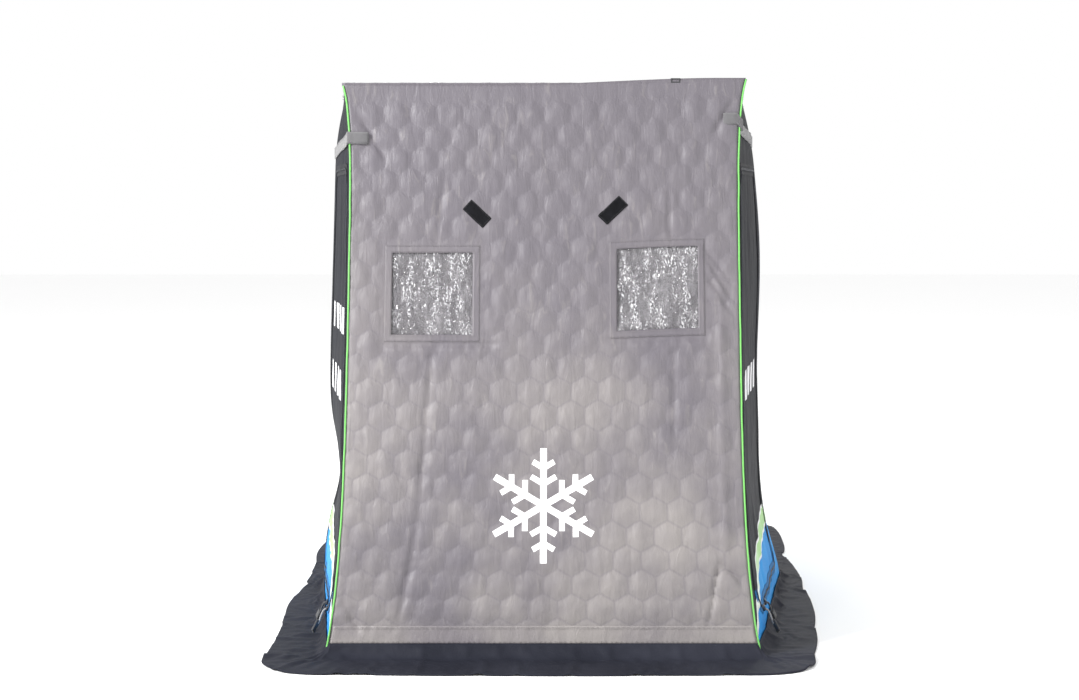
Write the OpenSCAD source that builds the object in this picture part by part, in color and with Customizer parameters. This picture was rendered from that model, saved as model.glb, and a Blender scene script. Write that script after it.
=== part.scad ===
// One-person ice fishing hut: a quilted fabric shell on a tube frame, with a snow skirt round its base.
// The front faces -Y. X = 0 is the middle of the hut, and Z = 0 is the ice it stands on.
// Left and right are as seen by someone who faces the front.

/* [Body] */
// Width of the front panel across its base
front_w = 1170; // [1000:10:1350]
// Width across the two sides at the middle bow
middle_w = 1480; // [1200:10:1800]
// Width of the back panel across its base
back_w = 1400; // [1000:10:1700]
// Height of the front panel's top edge above the ice
hut_h = 1650; // [1350:10:2000]
// Length along the ice from the front panel to the back panel
hut_l = 2000; // [1650:10:2500]
// How far the top of the front panel leans back
front_lean = 350; // [200:10:450]
// Distance of the middle bow behind the base of the front panel
middle_y = 1000; // [800:10:1200]
// How far the roof drops from the front panel to the middle bow
roof_drop = 30; // [10:5:120]
// Distance from the middle bow back to the rear bow's top
rear_reach = 540; // [350:10:640]
// How far the roof drops from the middle bow to the rear bow's top
rear_drop = 290; // [150:10:450]
// How far each side leans in over the height of the hut
side_lean = 58; // [0:1:80]
// Thickness of the quilted wall
wall_t = 10; // [6:1:20]

/* [Windows] */
// Width of a window opening
window_w = 250; // [150:5:320]
// Height of a window opening, along the panel
window_h = 250; // [150:5:400]
// Distance of a window's centre from the middle of the panel
window_x = 336; // [240:2:380]
// Distance of a window's centre from the base, along the panel
window_up = 1053; // [700:1:1150]
// Thickness of the clear pane
pane_t = 2; // [1:0.5:4]
// Thickness of the cloth cover that hangs inside the window
cover_t = 4; // [2:0.5:8]
// How far the cover laps past the window inside
cover_lap = 18; // [10:1:40]
// Strip that the cover leaves open at the window's left edge
cover_slit = 9; // [2:1:20]
// Width of the sewn border round a pane
border_w = 26; // [15:1:40]
// Thickness of the sewn border
border_t = 3; // [1:0.5:5]
// How far the border laps over the pane
border_lap = 6; // [3:1:12]

/* [Doors] */
// Height of the door's lower edge above the ice
door_sill = 95; // [80:5:200]
// Height of the door's upper edge above the ice
door_top = 1400; // [1000:10:1450]
// Fabric left between the front panel and the door
door_front = 110; // [60:5:200]
// Fabric left between the door and the middle bow
door_back = 70; // [50:5:200]
// Radius of the door's corners
door_r = 90; // [40:5:150]
// Width of the zip track
zip_w = 34; // [20:1:50]
// Thickness of the zip track
zip_t = 3; // [2:0.5:6]
// Length of a zip slider
slider_l = 34; // [20:1:50]
// Width of a zip slider
slider_w = 15; // [8:1:25]
// Height of a zip slider above the track
slider_t = 9; // [4:1:15]
// Length of a zip pull
pull_l = 75; // [40:5:100]
// Width of a zip pull
pull_w = 9; // [5:1:15]
// Thickness of a zip pull
pull_t = 4; // [2:0.5:8]
// How far a zip pull hangs below level
pull_turn = 44; // [20:1:45]
// Angle between the two pulls of a door
pull_spread = 26; // [10:1:40]

/* [Lower side panels] */
// Height that the blue panel gains from the front corner to the back, above the skirt's seam
lower_rise = 260; // [150:10:400]
// Distance from the front over which its edge does most of its rising
lower_run = 350; // [200:10:600]
// Width that the lime stripe grows to
stripe_w = 75; // [30:5:120]
// Width of the stripe at the front corner
stripe_tip_w = 12; // [6:1:30]
// Thickness of the stripe
stripe_t = 2; // [1:0.5:4]

/* [Trim] */
// Diameter of the piping on the front edges
piping_d = 10; // [6:1:16]
// Width of the webbing straps
strap_w = 36; // [20:1:50]
// Thickness of the webbing straps
strap_t = 3; // [2:0.5:5]
// Height of the straps above the ice
strap_h = 1500; // [1200:10:1560]
// Length of a strap on the front panel
strap_front_l = 62; // [30:2:120]
// How far a strap drops on its way back to the middle bow
strap_drop = 25; // [0:5:80]
// Length of a hook-and-loop patch
patch_l = 83; // [50:1:120]
// Width of a hook-and-loop patch
patch_w = 39; // [20:1:60]
// Thickness of a hook-and-loop patch
patch_t = 3; // [2:0.5:6]
// Distance of a patch from the middle of the panel
patch_x = 203; // [120:1:300]
// Distance of a patch from the base, along the panel
patch_up = 1290; // [1200:1:1320]
// Slant of a patch
patch_turn = 43; // [0:1:90]
// Height of the plain hem band along the base of the front panel
hem_h = 52; // [30:2:100]
// Thickness of the hem band
hem_t = 3; // [2:0.5:6]
// Width of the loop on the top edge
clip_w = 28; // [16:1:50]
// Height of the loop on the top edge
clip_h = 14; // [10:1:30]
// Thickness of the loop's strap
clip_t = 4; // [2:0.5:5]
// Distance of the loop from the middle of the panel
clip_x = 394; // [0:1:480]

/* [Skirt] */
// Width of the skirt in front
skirt_front_w = 200; // [120:5:300]
// Width of the skirt at the sides
skirt_side_w = 175; // [120:5:300]
// Width of the skirt at the back
skirt_back_w = 170; // [120:5:300]
// Height of the seam that joins the skirt to the walls
seam_h = 40; // [25:1:60]
// Thickness of the skirt
skirt_t = 6; // [3:0.5:12]

/* [Frame] */
// Diameter of the frame tubes
tube_d = 25; // [16:1:32]
// Diameter of the ball joints between tubes, large enough to keep slanting tubes apart
joint_d = 38; // [36:1:50]
// Clearance between the frame and the fabric, and between a joint and the next tube
frame_gap = 0.3; // [0.2:0.1:0.6]
// Clearance between a door and the side fabric round it
door_gap = 0.5; // [0.3:0.1:0.8]
// Gap in the stripe where the side folds over the middle bow
fold_gap = 0.5; // [0.3:0.1:0.8]

/* [Hidden] */

left = -1;
right = 1;
half_front = front_w / 2;
half_middle = middle_w / 2;
half_back = back_w / 2;
reach = 2 * (hut_l + middle_w);     // longer than the hut in every direction
cut = 1;                            // how far a cutting solid runs past the wall it cuts
middle_h = hut_h - roof_drop;
rear_y = middle_y + rear_reach;
rear_h = middle_h - rear_drop;
lean_a = atan2(front_lean, hut_h);
lean_k = front_lean / hut_h;        // set back of the front panel for each mm of height
back_k = (hut_l - rear_y) / rear_h; // set in of the back panel for each mm of height
taper = side_lean / hut_h;          // set in of a side for each mm of height
roof_a = atan2(roof_drop, middle_y - front_lean);
y_shift = -(hut_l + skirt_back_w - skirt_front_w) / 2;

// A side's plane, in front of the middle bow or behind it: x = x0 + k * (y - y0) - taper * z
front_k = (half_middle - half_front) / middle_y;
rear_k = (half_back - half_middle) / (hut_l - middle_y);
function side_x(y, z) = half_middle + (y < middle_y ? front_k : rear_k) * (y - middle_y) - taper * z;
function side_slant(k) = sqrt(1 + k * k + taper * taper);

// The outer profile, seen from the side as [y, z]
p_base = [0, 0];
p_top = [front_lean, hut_h];
p_middle = [middle_y, middle_h];
p_rear = [rear_y, rear_h];
p_back = [hut_l, 0];

// A line through a and b moved in by d, as its two ends
function inset(a, b, d) =
    let (n = [b[1] - a[1], a[0] - b[0]] / norm(b - a))
    [a + n * d, b + n * d];
// Where the line through p[0], p[1] meets the line through q[0], q[1]
function meet(p, q) =
    let (u = p[1] - p[0], v = q[1] - q[0], w = q[0] - p[0])
    p[0] + u * (w[0] * v[1] - w[1] * v[0]) / (u[0] * v[1] - u[1] * v[0]);
function level(z) = [[0, z], [1, z]];
function upright(y) = [[y, 0], [y, 1]];

// Corners of the profile moved in by d
function in_base(d, z = 0) = meet(inset(p_base, p_top, d), level(z));
function in_top(d) = meet(inset(p_base, p_top, d), inset(p_top, p_middle, d));
function in_middle(d) = meet(inset(p_top, p_middle, d), upright(middle_y));
function in_middle_rear(d) = meet(inset(p_middle, p_rear, d), upright(middle_y));
function in_rear(d) = meet(inset(p_middle, p_rear, d), inset(p_rear, p_back, d));
function in_back(d, z = 0) = meet(inset(p_rear, p_back, d), level(z));

// A polygon with each corner rounded, for corners that are not sharper than about 60 degrees
function rounded(pts, r) = [
    for (i = [0 : len(pts) - 1])
        let (
            p = pts[i],
            a = pts[(i + len(pts) - 1) % len(pts)],
            b = pts[(i + 1) % len(pts)],
            u = (a - p) / norm(a - p),
            v = (b - p) / norm(b - p),
            reach_l = r / tan(acos(u * v) / 2)
        )
        for (t = [0 : 0.2 : 1])
            (p + u * reach_l) * (1 - t) * (1 - t) + p * 2 * t * (1 - t) + (p + v * reach_l) * t * t
];

// Outlines of the side pieces as [y, z]
front_side_outline = [in_base(wall_t), in_top(wall_t), in_middle(wall_t), [middle_y, 0]];
rear_side_outline = [[middle_y, 0], in_middle_rear(wall_t), in_rear(wall_t), in_back(wall_t)];
// The blue panel's upper edge and the stripe's lower edge rise quickly at first and then level off
lower_steps = 16;
function risen(y) = 1 - exp(-y / lower_run);
function lower_z(y) = seam_h + stripe_tip_w + lower_rise * risen(y);
function stripe_z(y) = lower_z(y) - stripe_tip_w - (stripe_w - stripe_tip_w) * risen(y);
lower_edge = [for (i = [0 : lower_steps]) let (y = hut_l * i / lower_steps) [y, lower_z(y)]];
stripe_edge = [for (i = [lower_steps : -1 : 0]) let (y = hut_l * i / lower_steps) [y, stripe_z(y)]];
lower_outline = concat([[0, -cut]], lower_edge, [[hut_l, -cut]]);
stripe_outline = concat(lower_edge, stripe_edge);
function door_y(z) = in_base(wall_t, z)[0] + door_front;
// The door's outline, grown by g on every side
function door_outline(g) = rounded([
    [door_y(door_sill - g) - g, door_sill - g], [door_y(door_top + g) - g, door_top + g],
    [middle_y - door_back + g, door_top + g], [middle_y - door_back + g, door_sill - g]
], door_r + g);

// Placing

module placed() {
    translate([0, y_shift, 0])
        children();
}

module on(side) {
    if (side == right)
        children();
    else
        mirror([1, 0, 0])
            children();
}

// Extrudes a side-view outline [y, z] right across the hut
module across() {
    rotate([90, 0, 90])
        linear_extrude(height = reach, center = true)
            children();
}

// A slab parallel to the right side in front of or behind the middle bow, t thick, its outer face at out
module side_slab(k, t, out = 0) {
    translate([half_middle, middle_y, 0])
        rotate([0, -atan(taper / sqrt(1 + k * k)), -atan(k)])
            translate([out - t, -reach, -reach])
                cube([t, 2 * reach, 2 * reach]);
}

// Cuts a side-view outline out of such a slab
module side_piece(side, k, t, out = 0) {
    on(side)
        intersection() {
            side_slab(k, t, out);
            across()
                children();
        }
}

// Trims what crosses the hut to the planes of both sides, or to in mm inside them
module within_sides(k, in = 0) {
    intersection() {
        children();
        side_slab(k, reach, -in);
        mirror([1, 0, 0])
            side_slab(k, reach, -in);
    }
}

// Front panel's own place: x across, y up its slope, z out of it
module on_front() {
    rotate([90 - lean_a, 0, 0])
        children();
}

// A solid between two four-cornered sections
module span(a, b) {
    polyhedron(points = concat(a, b), faces = [
        [0, 2, 1], [0, 3, 2], [4, 5, 6], [4, 6, 7],
        [0, 1, 5, 4], [1, 2, 6, 5], [2, 3, 7, 6], [3, 0, 4, 7]
    ]);
}

module tube(a, b, d = tube_d) {
    way = b - a;
    translate(a)
        rotate([0, acos(way[2] / norm(way)), atan2(way[1], way[0])])
            cylinder(h = norm(way), d = d, $fn = 48);
}

// Quilted shell

module front_panel() {
    color([0.70, 0.68, 0.68])
        difference() {
            within_sides(front_k)
                across()
                    polygon([p_base, p_top, in_top(wall_t), in_base(wall_t)]);
            for (side = [left, right])
                on_front()
                    translate([side * window_x - window_w / 2, window_up - window_h / 2, -wall_t - cut])
                        cube([window_w, window_h, wall_t + 2 * cut]);
        }
}

module front_hem() {
    color([0.64, 0.62, 0.64])
        within_sides(front_k, piping_d / 2)
            on_front()
                translate([-reach / 2, seam_h / cos(lean_a), 0])
                    cube([reach, hem_h, hem_t]);
}

module roof_panel() {
    color([0.68, 0.66, 0.67])
        within_sides(front_k)
            across()
                polygon([p_top, p_middle, in_middle(wall_t), in_top(wall_t)]);
}

module rear_roof_panel() {
    color([0.68, 0.66, 0.67])
        within_sides(rear_k)
            across()
                polygon([p_middle, p_rear, in_rear(wall_t), in_middle_rear(wall_t)]);
}

module back_panel() {
    color([0.68, 0.66, 0.67])
        within_sides(rear_k)
            across()
                polygon([p_rear, p_back, in_back(wall_t), in_rear(wall_t)]);
}

// Sides

module front_side(side) {
    color([0.28, 0.29, 0.33])
        side_piece(side, front_k, wall_t)
            difference() {
                polygon(front_side_outline);
                polygon(lower_outline);
                polygon(door_outline(door_gap));
            }
}

module rear_side(side) {
    color([0.28, 0.29, 0.33])
        side_piece(side, rear_k, wall_t)
            difference() {
                polygon(rear_side_outline);
                polygon(lower_outline);
            }
}

module front_lower(side) {
    color([0.30, 0.66, 0.90])
        side_piece(side, front_k, wall_t)
            difference() {
                intersection() {
                    polygon(front_side_outline);
                    polygon(lower_outline);
                }
                polygon(door_outline(door_gap));
            }
}

module rear_lower(side) {
    color([0.30, 0.66, 0.90])
        side_piece(side, rear_k, wall_t)
            intersection() {
                polygon(rear_side_outline);
                polygon(lower_outline);
            }
}

module door(side) {
    color([0.28, 0.29, 0.33])
        side_piece(side, front_k, wall_t)
            polygon(door_outline(0));
}

module zip_track(side) {
    color([0.12, 0.12, 0.14])
        side_piece(side, front_k, zip_t, zip_t)
            difference() {
                polygon(door_outline(zip_w / 2));
                polygon(door_outline(-zip_w / 2));
            }
}

// Two sliders that meet near the door's lower front corner, each with its pull
module zip_pull(side) {
    slider_y = door_y(door_sill) + door_r + slider_l;
    color([0.10, 0.10, 0.11])
        for (k = [0, 1]) {
            side_piece(side, front_k, slider_t, zip_t + slider_t)
                translate([slider_y + k * (slider_l + cut), door_sill])
                    square([slider_l, slider_w], center = true);
            side_piece(side, front_k, pull_t, zip_t + slider_t + pull_t)
                translate([slider_y + k * (slider_l + cut), door_sill])
                    rotate(k * pull_spread - pull_turn)
                        translate([-pull_w / 2, -pull_w / 2])
                            square([pull_l, pull_w]);
        }
}

module stripe(side) {
    color([0.70, 0.95, 0.45]) {
        side_piece(side, front_k, stripe_t, stripe_t)
            difference() {
                intersection() {
                    polygon(stripe_outline);
                    polygon(front_side_outline);
                }
                difference() {
                    polygon(door_outline(zip_w / 2));
                    polygon(door_outline(-zip_w / 2));
                }
            }
        side_piece(side, rear_k, stripe_t, stripe_t)
            difference() {
                intersection() {
                    polygon(stripe_outline);
                    polygon(rear_side_outline);
                }
                translate([middle_y, 0])
                    square([fold_gap, hut_h]);
            }
    }
}

// Trim on the front

module piping(side) {
    out = (piping_d / 2 + frame_gap) / sqrt(2);
    from_z = seam_h + hem_t;
    from_y = from_z * lean_k;
    color([0.60, 0.90, 0.35])
        on(side)
            tube([side_x(from_y, from_z) + out, from_y - out, from_z],
                 [side_x(front_lean, hut_h) + out, front_lean - out, hut_h], piping_d);
}

module window(side) {
    color([0.85, 0.84, 0.86, 0.5])
        on_front()
            translate([side * window_x - window_w / 2, window_up - window_h / 2, -pane_t])
                cube([window_w, window_h, pane_t]);
}

// The cover hangs against the inner face of the front panel
module window_cover(side) {
    color([0.60, 0.58, 0.61])
        on_front()
            translate([
                side * window_x - window_w / 2 + cover_slit,
                window_up - window_h / 2 - cover_lap,
                -wall_t - cover_t
            ])
                cube([window_w - cover_slit + cover_lap, window_h + 2 * cover_lap, cover_t]);
}

module window_border(side) {
    color([0.60, 0.58, 0.60])
        on_front()
            translate([side * window_x, window_up, 0])
                linear_extrude(height = border_t)
                    difference() {
                        square([window_w + 2 * border_w, window_h + 2 * border_w], center = true);
                        square([window_w - 2 * border_lap, window_h - 2 * border_lap], center = true);
                    }
}

module patch(side) {
    color([0.18, 0.18, 0.21])
        on_front()
            translate([side * patch_x, patch_up, 0])
                rotate([0, 0, side * patch_turn])
                    translate([-patch_l / 2, -patch_w / 2, 0])
                        cube([patch_l, patch_w, patch_t]);
}

module strap(side) {
    strap_y = strap_h * lean_k;
    edge_x = side_x(strap_y, strap_h + strap_w);
    color([0.62, 0.63, 0.63]) {
        on(side)
            on_front()
                translate([edge_x - strap_front_l - strap_t, strap_h / cos(lean_a), 0])
                    cube([strap_front_l, strap_w, strap_t]);
        side_piece(side, front_k, strap_t, strap_t)
            intersection() {
                polygon(front_side_outline);
                polygon([
                    [strap_y - skirt_front_w, strap_h], [strap_y - skirt_front_w, strap_h + strap_w],
                    [middle_y, strap_h + strap_w - strap_drop], [middle_y, strap_h - strap_drop]
                ]);
            }
    }
}

module top_clip() {
    color([0.10, 0.10, 0.11])
        translate([clip_x, front_lean, hut_h])
            rotate([-roof_a, 0, 0])
                translate([0, clip_h, 0])
                    rotate([90, 0, 0])
                        linear_extrude(height = clip_h)
                            difference() {
                                translate([-clip_w / 2, 0])
                                    square([clip_w, clip_h]);
                                translate([clip_t - clip_w / 2, clip_t])
                                    square([clip_w - 2 * clip_t, clip_h - 2 * clip_t]);
                            }
}

// Skirt

// Points on the walls' corners at height z
function front_corner(z) = [side_x(z * lean_k, z), z * lean_k, z];
function middle_corner(z) = [side_x(middle_y, z), middle_y, z];
function back_corner(z) = [side_x(hut_l - z * back_k, z), hut_l - z * back_k, z];
// Points on the skirt's outer corners at height z
function front_tip(z) = [side_x(-skirt_front_w, 0) + skirt_side_w, -skirt_front_w, z];
function middle_tip(z) = [half_middle + skirt_side_w, middle_y, z];
function back_tip(z) = [side_x(hut_l + skirt_back_w, 0) + skirt_side_w, hut_l + skirt_back_w, z];
// The skirt's section from a wall's corner to its outer corner
front_section = [front_corner(seam_h), front_tip(skirt_t), front_tip(0), front_corner(seam_h - skirt_t)];
middle_section =
    [middle_corner(seam_h), middle_tip(skirt_t), middle_tip(0), middle_corner(seam_h - skirt_t)];
back_section = [back_corner(seam_h), back_tip(skirt_t), back_tip(0), back_corner(seam_h - skirt_t)];
function flip_x(section) = [for (p = section) [-p[0], p[1], p[2]]];

module front_skirt() {
    color([0.22, 0.22, 0.26])
        span(flip_x(front_section), front_section);
}

module back_skirt() {
    color([0.22, 0.22, 0.26])
        span(back_section, flip_x(back_section));
}

module side_skirt(side) {
    color([0.22, 0.22, 0.26])
        on(side)
            union() {
                span(front_section, middle_section);
                span(middle_section, back_section);
            }
}

// Tube frame

joint_in = joint_d / 2 + frame_gap;     // how far a joint's centre keeps from the fabric's inner face
frame_in = wall_t + joint_in;           // the same from the outer face
// A joint's centre at profile point p, beside the right side whose slope is k
function beside(p, k) = [side_x(p[0], p[1]) - frame_in * side_slant(k), p[0], p[1]];
front_foot = beside(in_base(frame_in, joint_d / 2), front_k);
front_joint = beside(in_top(frame_in), front_k);
middle_k = max(abs(front_k), abs(rear_k));
middle_foot = beside([middle_y, joint_d / 2], middle_k);
middle_joint = beside([middle_y, min(in_middle(frame_in)[1], in_middle_rear(frame_in)[1])], middle_k);
rear_foot = beside(in_back(frame_in, joint_d / 2), rear_k);
rear_joint = beside(in_rear(frame_in), rear_k);

// A bow from foot to foot over the two upper joints
module bow(foot, top) {
    color([0.75, 0.76, 0.78]) {
        for (side = [left, right])
            on(side) {
                tube(foot, top);
                translate(foot)
                    sphere(d = joint_d, $fn = 48);
                translate(top)
                    sphere(d = joint_d, $fn = 48);
            }
        tube([-top[0], top[1], top[2]], top);
    }
}

// Room that a rail leaves at the centre of a joint, for its ball and for the slanting leg over it
leg_slant = atan2(rear_h, hut_l - rear_y);
rail_room = max(joint_d / 2, tube_d / 2 / tan(leg_slant / 2) + frame_gap) + frame_gap;

// A tube between two joints that belong to the bows
module between(a, b) {
    along = (b - a) / norm(b - a) * rail_room;
    color([0.75, 0.76, 0.78])
        tube(a + along, b - along);
}

module base_rail(side) {
    on(side) {
        between(front_foot, middle_foot);
        between(middle_foot, rear_foot);
    }
}

module ground_bar(foot) {
    between([-foot[0], foot[1], foot[2]], foot);
}

placed() front_panel();
placed() front_hem();
placed() roof_panel();
placed() rear_roof_panel();
placed() back_panel();
placed() front_side(left);  // left_front_side
placed() front_side(right);  // right_front_side
placed() rear_side(left);  // left_rear_side
placed() rear_side(right);  // right_rear_side
placed() front_lower(left);  // left_front_lower
placed() front_lower(right);  // right_front_lower
placed() rear_lower(left);  // left_rear_lower
placed() rear_lower(right);  // right_rear_lower
placed() door(left);  // left_door
placed() door(right);  // right_door
placed() zip_track(left);  // left_zip_track
placed() zip_track(right);  // right_zip_track
placed() zip_pull(left);  // left_zip_pull
placed() zip_pull(right);  // right_zip_pull
placed() stripe(left);  // left_stripe
placed() stripe(right);  // right_stripe
placed() piping(left);  // left_piping
placed() piping(right);  // right_piping
placed() window(left);  // left_window
placed() window(right);  // right_window
placed() window_border(left);  // left_window_border
placed() window_border(right);  // right_window_border
placed() window_cover(left);  // left_window_cover
placed() window_cover(right);  // right_window_cover
placed() patch(left);  // left_patch
placed() patch(right);  // right_patch
placed() strap(left);  // left_strap
placed() strap(right);  // right_strap
placed() top_clip();
placed() front_skirt();
placed() back_skirt();
placed() side_skirt(left);  // left_skirt
placed() side_skirt(right);  // right_skirt
placed() bow(front_foot, front_joint);  // front_bow
placed() bow(middle_foot, middle_joint);  // middle_bow
placed() bow(rear_foot, rear_joint);  // rear_bow
placed() base_rail(left);  // left_base_rail
placed() base_rail(right);  // right_base_rail
placed() ground_bar(front_foot);  // front_ground_bar
placed() ground_bar(rear_foot);  // rear_ground_bar
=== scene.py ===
import bpy
import math
import numpy as np
from mathutils import Matrix, Vector, noise
from mathutils.bvhtree import BVHTree
from mathutils.geometry import delaunay_2d_cdt


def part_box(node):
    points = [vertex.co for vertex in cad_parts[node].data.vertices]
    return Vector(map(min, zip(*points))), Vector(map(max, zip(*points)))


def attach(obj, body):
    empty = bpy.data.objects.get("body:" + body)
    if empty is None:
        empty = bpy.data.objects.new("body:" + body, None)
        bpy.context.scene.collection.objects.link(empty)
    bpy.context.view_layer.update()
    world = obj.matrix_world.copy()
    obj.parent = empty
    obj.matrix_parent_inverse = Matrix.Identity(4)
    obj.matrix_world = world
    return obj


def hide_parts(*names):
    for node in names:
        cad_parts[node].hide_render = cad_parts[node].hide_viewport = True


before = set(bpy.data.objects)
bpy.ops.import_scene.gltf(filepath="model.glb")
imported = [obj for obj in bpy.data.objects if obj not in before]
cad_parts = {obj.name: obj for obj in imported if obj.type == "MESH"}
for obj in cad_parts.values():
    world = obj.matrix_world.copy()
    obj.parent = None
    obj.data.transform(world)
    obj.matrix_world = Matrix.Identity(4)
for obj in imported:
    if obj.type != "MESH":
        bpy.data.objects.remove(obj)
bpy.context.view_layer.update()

scene = bpy.context.scene

# places that everything else follows; y runs back from the front panel's foot
frontLow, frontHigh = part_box("front_panel")
rearLow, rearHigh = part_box("rear_roof_panel")
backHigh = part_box("back_panel")[1]
yBase = frontLow.y
hutHeight = frontHigh.z
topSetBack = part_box("roof_panel")[0].y - yBase
middleY, middleZ = rearLow.y - yBase, rearHigh.z
rearY, rearZ = rearHigh.y - yBase, backHigh.z
backY = backHigh.y - yBase
leanK = topSetBack / hutHeight
leanAngle = math.atan(leanK)
seamZ = 0.04  # height of the skirt's seam
footZ = 0.012  # where the walls' cloth ends
wallThick = 0.010
edgeSlack = 0.06  # folds die out this far from a sewn edge
bothSides = ((-1, "left"), (1, "right"))


def at(x, y, z):
    return Vector((x, yBase + y, z))


def addObject(name, data):
    made = bpy.data.objects.new(name, data)
    scene.collection.objects.link(made)
    return made


print("camera and light")
shot = {"location": (-0.010, yBase - 4.978, 1.269), "pitch": 4.45, "lens": 59.35, "sensor": 36}
camData = bpy.data.cameras.new("camera")
camData.lens, camData.sensor_width = shot["lens"], shot["sensor"]
cam = addObject("camera", camData)
cam.location = shot["location"]
cam.rotation_euler = (math.radians(90 - shot["pitch"]), 0, 0)
scene.camera = cam

studio = {"reach": 30, "floor tone": 0.95, "floor rough": 0.9, "air": 1.0}
reach = studio["reach"]
floorMesh = bpy.data.meshes.new("floor")
floorMesh.from_pydata([(-reach, -reach, 0), (reach, -reach, 0), (reach, reach, 0), (-reach, reach, 0)], [],
                      [(0, 1, 2, 3)])
addObject("floor", floorMesh)
floorMat = bpy.data.materials.new("pale floor")
floorMat.use_nodes = True
floorLook = floorMat.node_tree.nodes["Principled BSDF"].inputs
floorLook["Base Color"].default_value = (studio["floor tone"],) * 3 + (1,)
floorLook["Roughness"].default_value = studio["floor rough"]
floorMesh.materials.append(floorMat)

world = bpy.data.worlds.new("studio")
scene.world = world
world.use_nodes = True
air = world.node_tree.nodes["Background"].inputs
air["Color"].default_value = (1, 1, 1, 1)
air["Strength"].default_value = studio["air"]
scene.view_settings.view_transform = "Standard"


def areaLight(name, place, aim, size, power):
    data = bpy.data.lights.new(name, "AREA")
    data.shape = "RECTANGLE"
    data.size, data.size_y = size
    data.energy = power
    lamp = addObject(name, data)
    lamp.location = place
    lamp.rotation_euler = (Vector(aim) - Vector(place)).to_track_quat("-Z", "Y").to_euler()


areaLight("key", (-6.5, -4.8, 5.6), (0, -0.8, 0.8), (2.0, 2.0), 1500)
areaLight("fill", (4.0, -4.5, 2.2), (0, 0, 0.7), (3.0, 3.0), 60)
areaLight("back", (0.5, 4.5, 3.5), (0, 0.5, 0.8), (3.0, 2.0), 120)
for k, spot in enumerate(((-1.6, -4.6, 2.6), (1.9, -4.4, 1.9), (0.2, -5.0, 3.4))):
    areaLight(f"sparkle {k + 1}", spot, (0, -0.8, 1.05), (0.16, 0.16), 14)  # small ones, for the vinyl's glints

print("materials")


class Wire:
    # one socket of a node tree, with the sums that nodes can do on it
    def __init__(self, tree, socket):
        self.tree, self.socket = tree, socket

    def node(self, kind, settings=None, sockets=None, out=0):
        made = self.tree.nodes.new(kind)
        for key, value in (settings or {}).items():
            setattr(made, key, value)
        for key, value in (sockets or {}).items():
            if isinstance(value, Wire):
                self.tree.links.new(value.socket, made.inputs[key])
            else:
                made.inputs[key].default_value = value
        return Wire(self.tree, made.outputs[out]) if len(made.outputs) else None

    def calc(self, operation, *values, clamp=False):
        return self.node("ShaderNodeMath", {"operation": operation, "use_clamp": clamp}, dict(enumerate(values)))

    def __add__(self, other): return self.calc("ADD", self, other)
    def __radd__(self, other): return self.calc("ADD", other, self)
    def __sub__(self, other): return self.calc("SUBTRACT", self, other)
    def __rsub__(self, other): return self.calc("SUBTRACT", other, self)
    def __mul__(self, other): return self.calc("MULTIPLY", self, other)
    def __rmul__(self, other): return self.calc("MULTIPLY", other, self)
    def __pow__(self, other): return self.calc("POWER", self, other)
    def __abs__(self): return self.calc("ABSOLUTE", self)
    def sin(self): return self.calc("SINE", self)
    def cos(self): return self.calc("COSINE", self)
    def less(self, other): return self.calc("LESS_THAN", self, other)
    def more(self, other): return self.calc("GREATER_THAN", self, other)
    def most(self, other): return self.calc("MAXIMUM", self, other)
    def clamp(self): return self.calc("MULTIPLY", self, 1.0, clamp=True)

    def fade(self, low, high):
        # 0 below low, 1 above high, smooth between
        return self.node("ShaderNodeMapRange", {"interpolation_type": "SMOOTHSTEP"},
                         {0: self, 1: low, 2: high, 3: 0.0, 4: 1.0})

    def mix(self, one, two):
        # colour one where this is 0, colour two where it is 1
        return self.node("ShaderNodeMix", {"data_type": "RGBA"}, {0: self, 6: one, 7: two}, out=2)

    def scaled(self, x, y, z):
        return self.node("ShaderNodeVectorMath", {"operation": "MULTIPLY"}, {0: self, 1: (x, y, z)})

    def split(self):
        outs = self.node("ShaderNodeSeparateXYZ", sockets={0: self}).socket.node.outputs
        return [Wire(self.tree, outs[i]) for i in range(3)]


class Finish:
    # a material being put together: coordinates in, one shader out
    def __init__(self, name):
        self.mat = bpy.data.materials.new(name)
        self.mat.use_nodes = True
        tree = self.mat.node_tree
        tree.nodes.clear()
        self.start = Wire(tree, None)
        coords = self.start.node("ShaderNodeTexCoord").socket.node.outputs
        self.place = Wire(tree, coords["Object"])
        self.flat = Wire(tree, coords["UV"])

    def speckle(self, scale, detail=3.0, rough=0.55, stretch=(1, 1, 1), twist=0.0):
        return self.start.node("ShaderNodeTexNoise", {}, {
            "Vector": self.place.scaled(*stretch), "Scale": scale, "Detail": detail, "Roughness": rough,
            "Distortion": twist})

    def threads(self, where, pitch, axis=0):
        # ribs from -1 to 1, pitch metres apart
        return (where.split()[axis] * (2 * math.pi / pitch)).sin()

    def weave(self, pitch, where=None):
        # threads over and under, from 0 to 1
        where = where or self.flat
        return self.threads(where, pitch) * self.threads(where, pitch, 1) * 0.5 + 0.5

    def done(self, color, rough, height, **rest):
        normal = self.start.node("ShaderNodeBump", {}, {"Strength": 1.0, "Distance": 1.0, "Height": height})
        sockets = {"Base Color": color, "Roughness": rough, "Normal": normal}
        sockets.update({key.replace("_", " "): value for key, value in rest.items()})
        body = self.start.node("ShaderNodeBsdfPrincipled", {}, sockets)
        self.start.node("ShaderNodeOutputMaterial", {}, {"Surface": body})
        return self.mat


lightShare = 0.38  # how much darker a cloth is than it looks under these lamps


def rgb(*color, share=lightShare):
    # a colour as seen on screen, 0 to 255, as a linear one, darkened by its share
    linear = (c / 12.92 if c <= 0.04045 else ((c + 0.055) / 1.055) ** 2.4 for c in (v / 255 for v in color))
    return tuple(c * share for c in linear) + (1.0,)


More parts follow.
